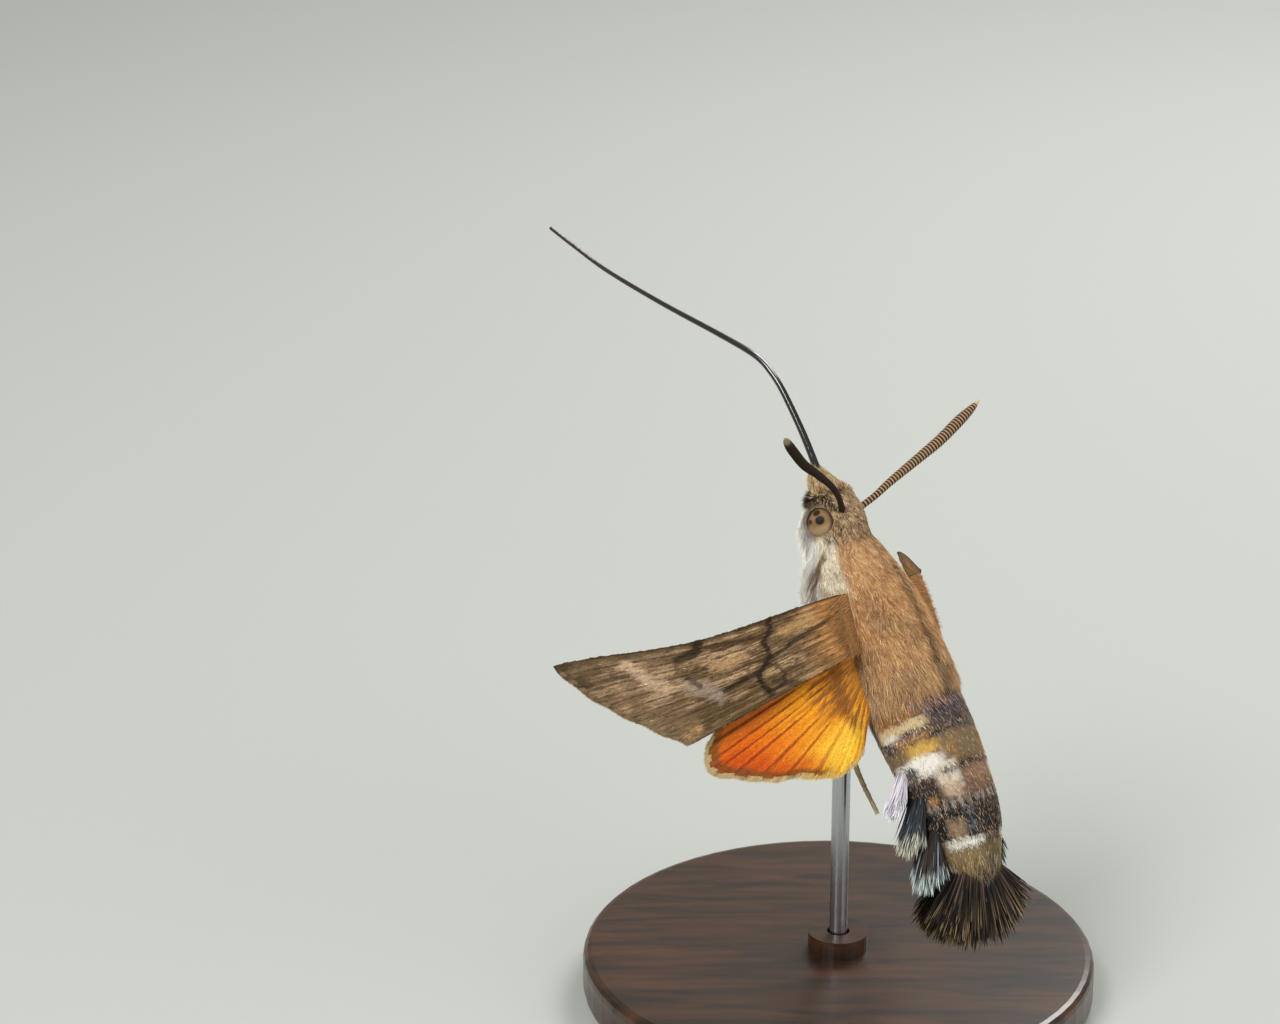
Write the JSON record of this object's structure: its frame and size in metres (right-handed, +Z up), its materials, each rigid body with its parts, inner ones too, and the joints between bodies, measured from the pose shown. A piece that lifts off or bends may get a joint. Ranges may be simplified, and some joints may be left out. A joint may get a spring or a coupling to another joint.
{
  "type": "hummingbird hawk moth",
  "caption": "Hummingbird hawk moth hovering with spread wings and extended proboscis, a life-size still model on a round stand.",
  "frame": {"origin": "centre of the underside of the stand's base", "axes": "+Z up; the head points up and back towards +Y and a little towards -X, the belly towards -X and +Y, and the picture's camera looks along +Y"},
  "size_m": [0.0364, 0.0382, 0.0472],
  "materials": {
    "brown_scales": "dense hair-like scales, tan to grey brown",
    "dark_scales": "black-brown scales with a faint gleam",
    "pale_scales": "cream and pale brown scales",
    "grey_brown_wing": "thin wing membrane covered in fine scales",
    "orange_wing": "thin orange wing membrane with a brown border",
    "eye_surface": "smooth faceted eye, satin gloss",
    "black_horn": "glossy black horn-like tube",
    "dark_wood": "satin lacquer",
    "polished_steel": "fine polish"
  },
  "bodies": {
    "root": {"abdomen_front": "brown_scales", "abdomen_middle": "brown_scales", "abdomen_rear": "dark_scales", "antenna_left": "dark_scales", "antenna_right": "dark_scales", "eye_left": "eye_surface", "eye_right": "eye_surface", "forewing_left": "grey_brown_wing", "forewing_right": "grey_brown_wing", "head": "brown_scales", "hindwing_left": "orange_wing", "hindwing_right": "orange_wing", "leg_fore_left": "pale_scales", "leg_fore_right": "pale_scales", "leg_hind_left": "pale_scales", "leg_hind_right": "pale_scales", "leg_middle_left": "pale_scales", "leg_middle_right": "pale_scales", "palp_left": "pale_scales", "palp_right": "pale_scales", "proboscis_far": "black_horn", "proboscis_near": "black_horn", "stand_base": "dark_wood", "stand_rod": "polished_steel", "tail_fan": "dark_scales", "thorax": "brown_scales", "tuft_left_1": "pale_scales", "tuft_left_2": "dark_scales", "tuft_left_3": "dark_scales", "tuft_right_1": "pale_scales", "tuft_right_2": "dark_scales", "tuft_right_3": "dark_scales"}
  },
  "joints": []
}
